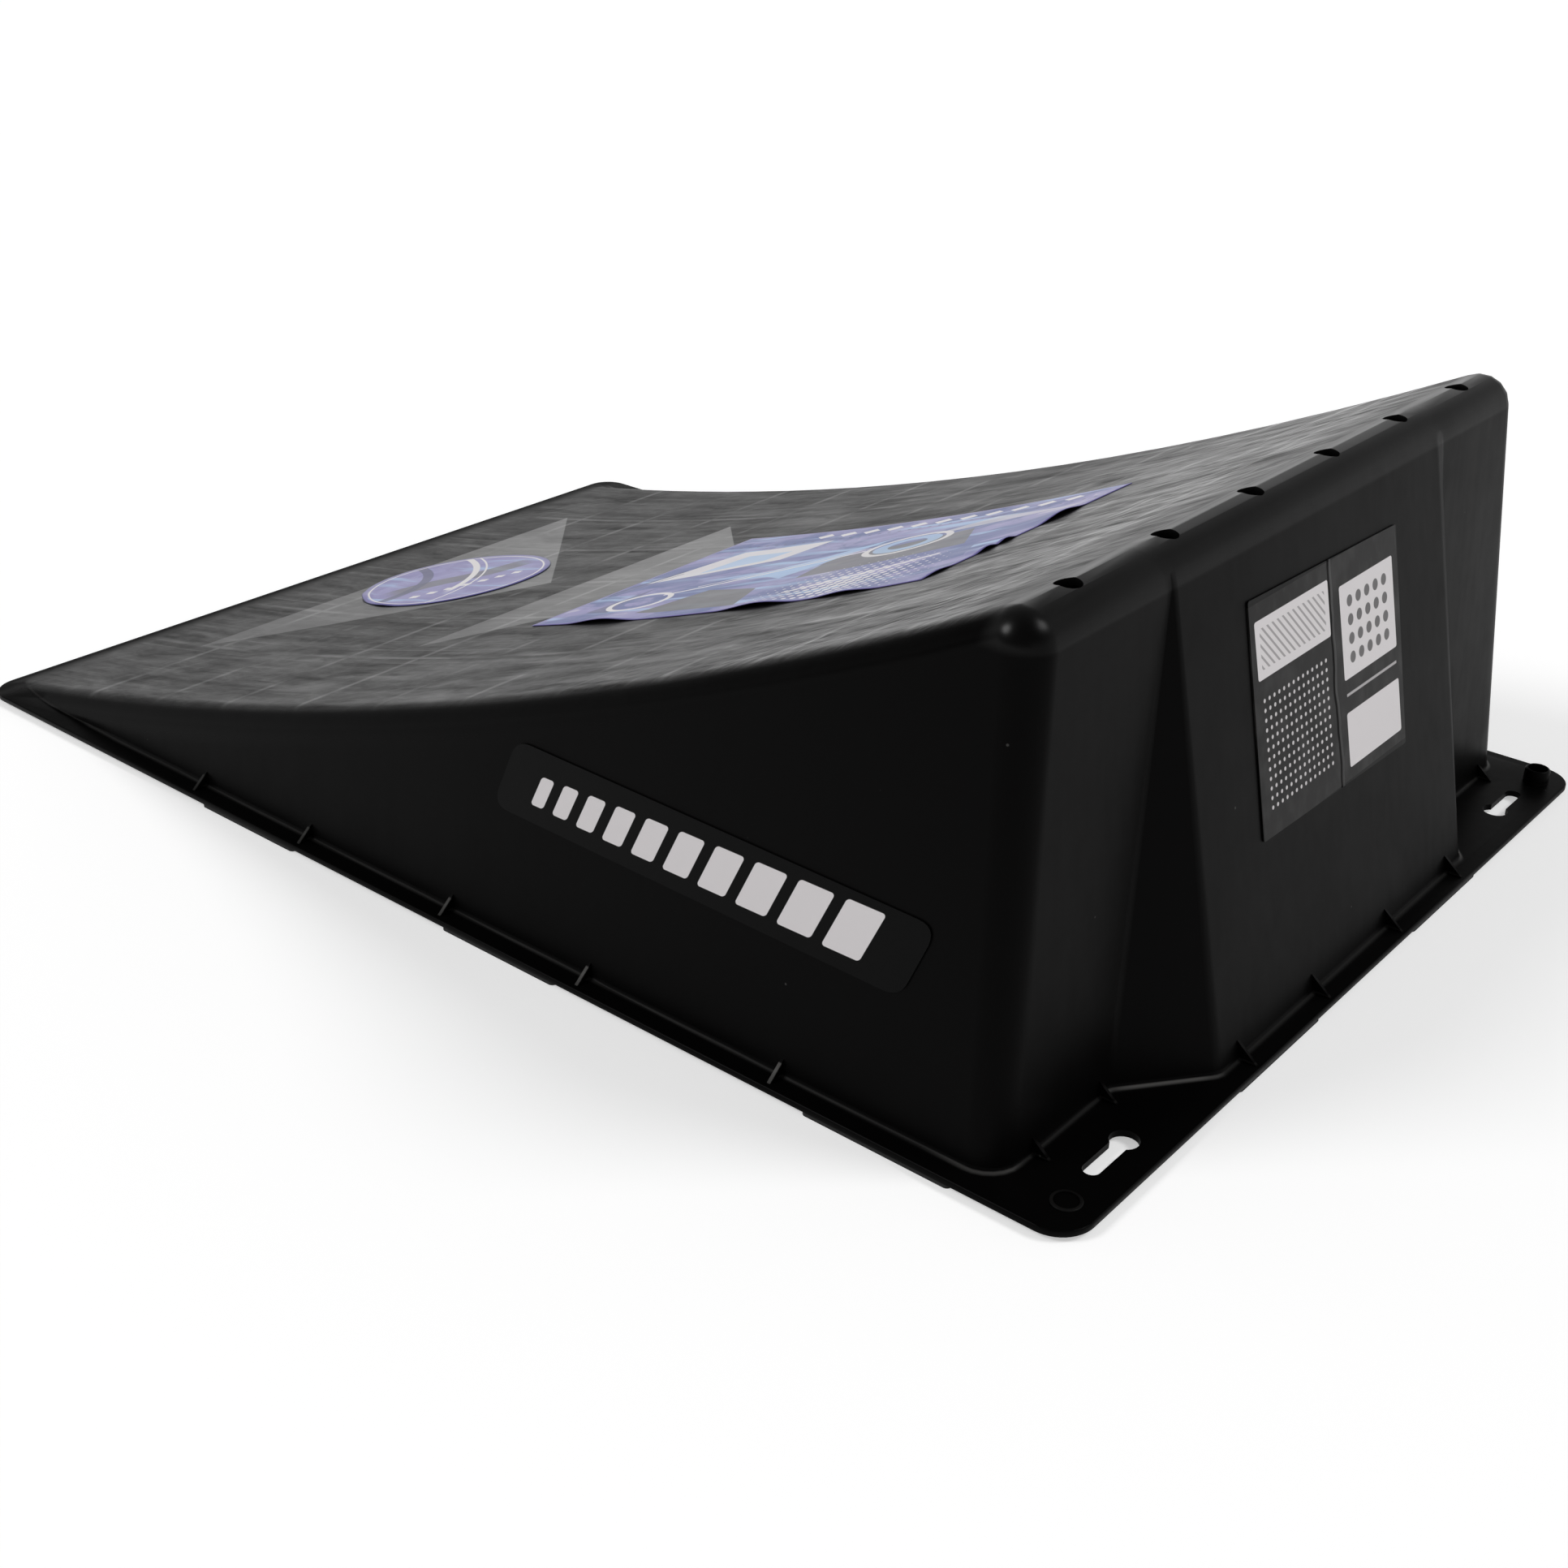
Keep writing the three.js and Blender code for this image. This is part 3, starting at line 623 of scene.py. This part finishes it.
def shell_material(deck, plastic):
    board = plastic_board(
        "shell_plastic",
        Specular_IOR_Level=plastic.shine,
        Coat_Roughness=plastic.skin_roughness,
    )
    axes = board.axes()
    x, y, _ = axes
    along = x - TOE_X
    on_deck, on_lip, on_edge, below = shell_zones(board, axes, deck)
    near_lip = board.ramp(along, 290, 520)
    far_side = board.ramp(y, -170, 40)

    # Uneven skin: slow clouds, small patches, lines drawn down the walls, flow and smears uphill
    cloud = board.blots(axes, (34, 34, 34), 3.0, 0.55)
    patchy = board.blots(axes, (7, 7, 7))
    drag = board.blots(axes, (4, 4, 70))
    flow = board.blots(axes, (90, 5, 50), 3.0, 0.6)
    smear = board.noise(board.vector(x / 48 + flow, y / 15 + cloud * 2, 17), 4.0, 0.65)

    sink = rib_lines(board, axes, deck) * on_deck
    patch = smooth_triangles(board, axes) * on_deck
    streaks, wear, scratch = rubbed_marks(board, axes, cloud)
    streaks = streaks * on_deck * (near_lip * 0.85 + 0.15)
    scratch = scratch * on_deck * near_lip

    roughness = plastic.roughness + swing(cloud, 0.14) + swing(patchy, 0.05) + swing(drag, 0.08)
    roughness = roughness - on_edge * 0.17 - (swing(smear, 0.24) + swing(flow, 0.12)) * on_deck

    # The polished skin grows towards the lip and is uneven where shoes and wheels rub it
    uneven = swing(smear, 4.4) + swing(flow, 2.2) + swing(patchy, 1.2)
    uneven = uneven + wear * (near_lip * 1.6 + 0.4)
    rise = near_lip * (plastic.lip_shine - plastic.deck_shine) * (0.65 + far_side * 0.35)
    skin = (plastic.deck_shine + rise) * (1 + uneven) | 0
    skin = skin * (1 - far_side * board.ramp(along, 500, 200) * 0.3)
    smooth = (0.5 + far_side * 0.44) * (1 + swing(smear, 0.7))
    skin = skin + patch * (smooth * plastic.patch_shine - skin)
    skin = skin + sink * 0.32 + streaks * 0.6 + scratch * 0.5
    lip_skin = plastic.roll_shine * (0.7 + cloud * 0.6) * (1 + board.ramp(below, 8, 1) * 1.4)
    skin = skin * on_deck | on_lip * lip_skin

    size = millimetres(plastic.grain_size)
    grain = board.blots(axes, (size, size, size))
    coarse = on_deck * (1 - patch) * 0.7 + 0.3
    height = grain * coarse * millimetres(plastic.grain_height) * 2
    height = height - sink * millimetres(deck.sink_depth)
    height = height - scratch * millimetres(plastic.scratch_depth)
    height = height + swing(cloud, millimetres(plastic.wave_height))
    height = height - streaks * millimetres(plastic.streak_depth)

    spacing = millimetres(plastic.nick_spacing)
    nick = board.ramp(board.cells(axes, spacing), 0.028, 0.016)
    dusty = on_deck * 0.35 * (cloud * 0.6 + 0.7) + streaks * 0.5
    colour_now = board.paint(
        plastic.body,
        (dusty, plastic.dust),
        (nick * 0.5 | scratch * 0.5, plastic.speck_and_highlight),
        # Painted highlights along the gussets' slopes and the walls' foot round, in the speck
        # colour
        (painted_highlight_lines(board, axes, deck), plastic.speck_and_highlight),
    )
    return board.finish(
        Base_Color=colour_now, Roughness=roughness, Coat_Weight=skin, Normal=board.bump(height)
    )


def rubber_material(plastic):
    board = plastic_board("grip_rubber", Specular_IOR_Level=plastic.rubber_shine)
    axes = board.axes()
    fine = board.blots(axes, (0.5, 0.5, 0.5), 3.0)
    cloud = board.blots(axes, (12, 12, 12))
    dusty = board.ramp(cloud, 0.5, 0.8) * 0.4
    return board.finish(
        Base_Color=board.mix(dusty, plastic.rubber, plastic.rubber_dust),
        Roughness=0.75 + cloud * 0.15,
        Normal=board.bump(fine * 0.03),
    )


def sticker_finish(board, print_colour, crease, roughness, relief=0.0):
    """A printed film: slightly uneven gloss over soft creases."""
    axes = board.axes()
    cloud = board.blots(axes, (16, 16, 16), 3.0)
    fine = board.blots(axes, (2.2, 2.2, 2.2))
    height = cloud * millimetres(crease) + fine * 0.006 + relief
    gloss = roughness + swing(cloud, 0.14)
    return board.finish(Base_Color=print_colour, Roughness=gloss, Normal=board.bump(height))


def round_sticker_material(stickers, place):
    """Violet clouds under a waved band, bows and a row of lozenges; u and v start in the middle."""
    board = plastic_board("deck_round_label", Specular_IOR_Level=stickers.round_shine)
    x, y, _ = board.axes()
    u, v = x - place[0], y - place[1]
    swirl = board.noise(board.vector(u / 30, v / 30, 2))
    cloud = board.noise(board.vector(u / 16 + swirl * 2, v / 22 + swirl * 3, 4), 4.0, 0.6)
    wisp = board.noise(board.vector((u - v) / 50, v / 7 + swirl, 6), 3.0)
    blue_blots = board.ramp(cloud, 0.6, 0.7) * board.ramp(v, -30, 30)

    run, side = board.turned(u, v, 64)
    waved = side + board.maths("SINE", run / 9) * 1.6
    band = board.stripe(waved, 1, 6.5) * board.stripe(run, 2, 34, 6)
    lozenge = board.off_grid(run, 8.5) / 3.2 + abs(side + 17) / 2.6
    lozenges = board.ramp(lozenge, 1.05, 0.95) * board.stripe(run, 0, 29)
    bow = board.away(u, v, (-58, -34))
    broad_bow = board.stripe(bow, 74, 1.7) * board.stripe(run, 12, 22, 4)
    rim = board.away(u, v)
    print_colour = board.paint(
        stickers.violet,
        (board.ramp(cloud, 0.36, 0.64), stickers.lilac),
        (board.ramp(wisp, 0.52, 0.7) * 0.7, stickers.sky),
        (blue_blots * 0.7, stickers.blue),
        (band * 0.75, stickers.stone),
        (broad_bow, stickers.white),
        (board.stripe(bow, 79, 0.5), stickers.white),
        (board.stripe(bow, 50, 2.6) * 0.8, stickers.navy),
        (lozenges, stickers.white),
        (board.stripe(rim, 42.6, 0.45), stickers.white),
        (board.ramp(rim, 43.6, 44), stickers.violet),
        (board.ramp(rim, 45.5, 45.7), stickers.navy),
    )
    return sticker_finish(board, print_colour, stickers.crease, stickers.roughness)


def banner_material(stickers, place, size):
    """Blue clouds under stripes, shards, rings and dots; u and v start in the toe's near corner."""
    board = plastic_board("deck_banner_label", Specular_IOR_Level=stickers.banner_shine)
    x, y, _ = board.axes()
    u, v = x - (place[0] - size[0] / 2), y - (place[1] - size[1] / 2)
    run, side = board.turned(u, v, 33)
    swirl = board.noise(board.vector(u / 55, v / 50, 5), 3.0)
    cloud = board.noise(board.vector(u / 34 + swirl * 2.4, v / 26 + swirl * 1.8, 8), 4.0, 0.6)
    wisp = board.noise(board.vector((u + v * 0.5) / 70, v / 10 + swirl * 2, 3), 3.0)
    layers = [
        (board.ramp(cloud, 0.38, 0.6), stickers.lilac),
        (board.ramp(wisp, 0.5, 0.68) * 0.85, stickers.sky),
        (board.ramp(cloud, 0.6, 0.72) * 0.6, stickers.white),
        (board.stripe(side, 42, 7) * board.ramp(run, 150, 60) * 0.7, stickers.blue),
        (board.stripe(side, -34, 10) * board.ramp(run, 60, 150) * 0.7, stickers.blue),
    ]

    # Straight-sided shards: their corners, colour and strength
    for corners, finish, strength in (
        (((8, 62), (60, 90), (66, 120), (22, 112)), stickers.white, 0.9),
        (((50, 10), (104, 8), (92, 36), (62, 42)), stickers.stone, 0.9),
        (((104, 46), (170, 66), (152, 100), (98, 78)), stickers.stone, 0.85),
        (((70, 62), (92, 50), (110, 106)), stickers.sky, 0.85),
        (((148, 14), (190, 36), (178, 62)), stickers.blue, 0.85),
        (((16, 16), (30, 14), (22, 52)), stickers.navy, 0.6),
        (((26, 76), (50, 91), (54, 106), (32, 103)), stickers.sky, 0.8),
        (((130, 100), (188, 112), (150, 120)), stickers.white, 0.55),
    ):
        layers.append((board.shard(u, v, corners) * strength, finish))

    # Two ringed discs: each ring's middle, radius, half width, colour and strength
    small, large = (34, 30), (128, 88)
    for centre, radius, half_width, finish, strength in (
        (small, 13, 1.3, stickers.white, 1),
        (small, 8.5, 2, stickers.blue, 0.8),
        (large, 17, 1.5, stickers.white, 0.9),
        (large, 11, 3, stickers.sky, 0.8),
    ):
        ring = board.stripe(board.away(u, v, centre), radius, half_width)
        layers.append((ring * strength, finish))

    # Slanted lines: place and half width, then middle and half length along the slant
    pale_lines = ((12, 0.9, 96, 42), (16, 0.5, 104, 36), (-48, 1.2, 140, 30))
    for aside, half_width, centre, half_length in pale_lines:
        line = board.stripe(side, aside, half_width) * board.stripe(run, centre, half_length)
        layers.append((line, stickers.white))
    dark_lines = ((-12, 1.2, 60, 22), (-8, 0.6, 58, 20))
    for aside, half_width, centre, half_length in dark_lines:
        line = board.stripe(u - v * 0.3, aside, half_width) * board.stripe(v, centre, half_length)
        layers.append((line * 0.7, stickers.navy))

    fading = 2.1 - board.away(u, v, (146, 22)) / 22
    diamond = board.off_grid(u - 3, 12.5) / 4.6 + abs(v - 131) / 4.2
    border = board.panel(u, v, (size[0] / 2, size[1] / 2), (size[0] - 3, size[1] - 3))
    layers += [
        (board.dots(u, v, 4.4, fading) * board.ramp(fading, 0.1, 0.4), stickers.white),
        (board.ramp(diamond, 1.04, 0.96) * board.stripe(u, 116, 70), stickers.white),
        (board.dots(u, v - 122.5, 5.2, 0.8) * board.stripe(v, 122.5, 2) * 0.8, stickers.navy),
        (1 - border, stickers.violet),
    ]
    print_colour = board.paint(stickers.blue, *layers)
    return sticker_finish(board, print_colour, stickers.crease, stickers.roughness)


def side_sticker_material(stickers, place):
    """Ten slanted bars that grow towards the rear on a black strip."""
    board = plastic_board("side_label", Specular_IOR_Level=stickers.side_shine)
    x, _, z = board.axes()
    u, v = x - place[0], z - place[1]
    slant, gap, corner = 0.42, 4.6, 1.4
    bars, start = [], -74
    for width in range(6, 16):
        tall = width * 0.8 + 7
        bars.append(board.panel(u - v * slant, v, (start + width / 2, 0), (width, tall), corner))
        start += width + gap
    print_colour = board.paint(stickers.film_black, (reduce(or_, bars), stickers.white))
    return sticker_finish(board, print_colour, stickers.crease, stickers.side_roughness)


def rear_sticker_material(stickers, place, size):
    """Hatched, dotted and plain fields on dark film; u and v start in the lower near corner."""
    board = plastic_board("rear_label", Specular_IOR_Level=stickers.rear_shine)
    _, y, z = board.axes()
    lean = 1.03
    u, v = y - place[0] + size[0] / 2, (z - place[1]) * lean + size[1] / 2
    cloud = board.noise(board.vector(u / 9, v / 14, 4), 3.0)
    hatch = board.ramp(board.off_grid(u + v, 3.6), 0.75, 0.5)
    fine_dots = board.dots(u - 1.1, v - 1.1, 3.4, 0.7)
    large_dots = board.dots(u - 4.4, v - 3, 6.8, 2.1)
    line = board.stripe(v, 31.4, 0.5) * board.stripe(u, 86, 20)
    wander = swing(board.noise(board.vector(v / 26, 1, 1)), 6)
    fold = board.ramp(abs(u - 58.5 - wander), 1.6, 0)
    inside = board.panel(u, v, (size[0] / 2, size[1] / 2), (size[0] - 1.6, size[1] - 1.6))

    # Each field's middle and size
    striped, striped_size = (31, 66), (52, 20)
    dotted, dotted_size = (86, 54), (42, 34)
    plain, plain_size = (86, 15), (42, 20)
    print_colour = board.paint(
        stickers.film_grey,
        (board.ramp(cloud, 0.4, 0.7) * 0.3, stickers.film_cloud),
        (board.panel(u, v, striped, striped_size), stickers.white),
        (board.panel(u, v, dotted, dotted_size), stickers.white),
        (board.panel(u, v, plain, plain_size), stickers.white),
        (fine_dots * board.panel(u, v, (30, 30), (47.6, 40.8)) * 0.85, stickers.white),
        (hatch * board.panel(u, v, striped, (46, 14)) * 0.5, stickers.film_grey),
        (large_dots * board.panel(u, v, dotted, (34, 27.2)) * 0.8, stickers.film_grey),
        (line * 0.6, stickers.white),
        # Painted shade: the crease is darkened with film black
        (fold * 0.45, stickers.film_black),
        (1 - inside, stickers.film_black),
    )
    return sticker_finish(board, print_colour, stickers.crease, stickers.roughness, fold * 0.7)


# Stage


def pale_floor(look):
    """A pale floor that adds white for the camera, except under the shell."""
    reach = look.floor_reach
    corners = [(-reach, -reach, 0), (reach, -reach, 0), (reach, reach, 0), (-reach, reach, 0)]
    floor = new_piece("floor", corners, [(0, 1, 2, 3)])
    board = plastic_board(
        "pale_floor", Specular_IOR_Level=0.0, Roughness=0.9, Emission_Strength=look.backdrop
    )
    x, y, _ = board.axes()
    cloud = board.noise(board.vector(x / 400, y / 400, 1))
    pale = tuple(look.floor)
    worn = tuple(part * 0.992 for part in pale)
    half_length, half_width, fade, shift = 270, 180, 6, 8
    covered = board.ramp(abs(y), half_width + fade, half_width)
    covered = covered & board.ramp(abs(x + shift), half_length + fade, half_length)
    material = board.finish(
        Base_Color=board.mix(cloud, worn, pale),
        Emission_Color=board.mix(board.seen() * (1 - covered), (0, 0, 0), (1, 1, 1)),
    )
    floor.data.materials.append(material)
    return floor


def studio_sky(look):
    """Light from the horizon, dim overhead and in a narrow part of the near side."""
    sky = Board(bpy.data.worlds.new("studio"), "Background")
    way = sky.node("ShaderNodeTexCoord", output="Generated")
    depth, height = (sky.node("ShaderNodeSeparateXYZ", (), {0: way}, output=axis) for axis in "YZ")
    near_side = sky.ramp(depth, -0.35, -0.65) * sky.ramp(height, 0.12, 0.26)
    shaded = sky.ramp(height, 0.04, 0.55) | near_side
    return sky.finish(Color=sky.mix(shaded, look.horizon, look.ceiling), Strength=1.0)


def soft_lamp(name, way, look):
    light = bpy.data.lights.new(name, "SUN")
    light.energy = look.lamp_strength
    light.angle = look.lamp_spread
    lamp = bpy.data.objects.new(name, light)
    lamp.rotation_euler = Vector(way).to_track_quat("Z", "Y").to_euler()
    return lamp


def matched_camera(look):
    """A camera that sees the ramp as the photograph does."""
    view = bpy.data.cameras.new("camera")
    view.sensor_fit = "HORIZONTAL"
    view.sensor_width = 36
    view.lens = look.lens
    camera = bpy.data.objects.new("camera", view)
    camera.location = look.camera_place
    camera.rotation_euler = look.camera_turn
    return camera


# Operators


class RAMP_OT_shell(bpy.types.Operator):
    """Makes the moulded shell with smooth shading and its plastic"""

    bl_idname = "ramp.shell"
    bl_label = "Shell"

    def execute(self, context):
        scene = context.scene
        shell = welded_copy("moulded_shell", "ramp_shell")
        shade(shell, 50)
        material = shell_material(scene.ramp_deck, scene.ramp_plastic)
        seat(shell, material, "ramp_shell")
        return {"FINISHED"}


class RAMP_OT_pads(bpy.types.Operator):
    """Gives the grip pads under the flange their rubber"""

    bl_idname = "ramp.pads"
    bl_label = "Grip pads"

    def execute(self, context):
        pads = [node for name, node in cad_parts.items() if name.startswith("grip_pad")]
        if not pads:
            raise RuntimeError("the frame holds no grip pads")
        material = rubber_material(context.scene.ramp_plastic)
        for pad in pads:
            pad.data.materials.clear()
            pad.data.materials.append(material)
        return {"FINISHED"}


class RAMP_OT_round_sticker(bpy.types.Operator):
    """Makes the round sticker low on the deck"""

    bl_idname = "ramp.round_sticker"
    bl_label = "Round sticker"

    def execute(self, context):
        scene = context.scene
        centre, size = middle("deck_round_label")
        place, radius = (centre.x, centre.y), size.y / 2
        flat = 0.84

        # Where the rim is loose: direction and half width in degrees, and height
        spots = ((-128, 17, 1.1), (-92, 14, 0.4))

        def lift(u, v):
            turn = math.degrees(math.atan2(v, u))
            rim = max(0, math.hypot(u, v) / radius - flat) / (1 - flat)
            return rim**2 * sum(tall * hump(turn - at, reach) for at, reach, tall in spots)

        sheet = deck_sheet("round_sticker", disc(radius, 14, 120), place, scene, lift)
        material = round_sticker_material(scene.ramp_stickers, place)
        seat(sheet, material, "deck_round_label")
        return {"FINISHED"}


class RAMP_OT_banner(bpy.types.Operator):
    """Makes the large sticker on the deck, with its two loose edges"""

    bl_idname = "ramp.banner"
    bl_label = "Banner sticker"

    def execute(self, context):
        scene = context.scene
        stickers = scene.ramp_stickers
        centre, size = middle("deck_banner_label")
        place = (centre.x, centre.y)
        edge, slack = millimetres(stickers.loose_edge), millimetres(stickers.slack)
        margin = 26

        # Where each edge is loose: distance along it, half width, and share of the height
        near_spots = ((40, 22, 0.9), (122, 22, 1), (163, 17, 0.6))
        lip_spots = ((10, 12, 0.5), (41, 9, 0.8), (53, 8, 0.75), (91, 19, 1.1))

        def loose(distance, spots, from_edge):
            tall = max(part * hump(distance - at, reach) for at, reach, part in spots)
            return tall * max(0, 1 - from_edge / margin) ** 2

        def lift(u, v):
            along, across = u + size.x / 2, v + size.y / 2
            near = loose(along, near_spots, across)
            lip = loose(across, lip_spots, size.x - along)
            ripple = math.sin(u / 11 + v / 17) * math.sin(v / 13)
            return edge * max(near, lip) + slack * (1 + ripple)

        outline = grid(size.x, size.y, 150, 110)
        sheet = deck_sheet("banner_sticker", outline, place, scene, lift)
        material = banner_material(stickers, place, (size.x, size.y))
        seat(sheet, material, "deck_banner_label")
        return {"FINISHED"}


class RAMP_OT_side_sticker(bpy.types.Operator):
    """Makes the long die-cut sticker on the near side wall"""

    bl_idname = "ramp.side_sticker"
    bl_label = "Side sticker"

    def execute(self, context):
        scene = context.scene
        stickers = scene.ramp_stickers
        centre, _ = middle("side_label")
        draft = scene.ramp_deck.side_draft
        out = Vector((0, -math.cos(draft), math.sin(draft)))
        sheet = glued_copy("side_sticker", "side_label", out, stickers.glue_gap)
        material = side_sticker_material(stickers, (centre.x, centre.z))
        seat(sheet, material, "side_label")
        return {"FINISHED"}


class RAMP_OT_rear_sticker(bpy.types.Operator):
    """Makes the sticker on the rear wall's centre panel"""

    bl_idname = "ramp.rear_sticker"
    bl_label = "Rear sticker"

    def execute(self, context):
        stickers = context.scene.ramp_stickers
        centre, size = middle("rear_label")
        lean = math.atan2(size.x, size.z)
        out = Vector((math.cos(lean), 0, math.sin(lean)))
        sheet = glued_copy("rear_sticker", "rear_label", out, stickers.glue_gap)
        material = rear_sticker_material(stickers, (centre.y, centre.z), (size.y, size.z))
        seat(sheet, material, "rear_label")
        return {"FINISHED"}


class RAMP_OT_stage(bpy.types.Operator):
    """Makes the pale floor, the soft light and the camera"""

    bl_idname = "ramp.stage"
    bl_label = "Stage"

    def execute(self, context):
        scene = context.scene
        look = scene.ramp_stage
        floor = pale_floor(look)
        scene.world = studio_sky(look)
        scene.camera = matched_camera(look)
        left = soft_lamp("lamp_left", look.left_lamp, look)
        right = soft_lamp("lamp_right", look.right_lamp, look)
        for made in (left, right, scene.camera):
            scene.collection.objects.link(made)
        scene.view_settings.view_transform = "Standard"
        return {"FINISHED"}


class RAMP_PT_sidebar(bpy.types.Panel):
    bl_label = "Launch Ramp"
    bl_idname = "RAMP_PT_sidebar"
    bl_space_type = "VIEW_3D"
    bl_region_type = "UI"
    bl_category = "Ramp"

    def draw(self, context):
        for operator in OPERATORS:
            self.layout.operator(operator.bl_idname)


OPERATORS = (
    RAMP_OT_shell,
    RAMP_OT_pads,
    RAMP_OT_round_sticker,
    RAMP_OT_banner,
    RAMP_OT_side_sticker,
    RAMP_OT_rear_sticker,
    RAMP_OT_stage,
)
GROUPS = {
    "ramp_deck": RampDeck,
    "ramp_plastic": RampPlastic,
    "ramp_stickers": RampStickers,
    "ramp_stage": RampStage,
}
CLASSES = (*GROUPS.values(), *OPERATORS, RAMP_PT_sidebar)


def register():
    for entry in CLASSES:
        bpy.utils.register_class(entry)
    for name, group in GROUPS.items():
        setattr(bpy.types.Scene, name, PointerProperty(type=group))


def unregister():
    for name in GROUPS:
        delattr(bpy.types.Scene, name)
    for entry in reversed(CLASSES):
        bpy.utils.unregister_class(entry)


def main():
    register()
    bpy.ops.ramp.shell()
    bpy.ops.ramp.pads()
    bpy.ops.ramp.round_sticker()
    bpy.ops.ramp.banner()
    bpy.ops.ramp.side_sticker()
    bpy.ops.ramp.rear_sticker()
    bpy.ops.ramp.stage()


if __name__ == "__main__":
    main()
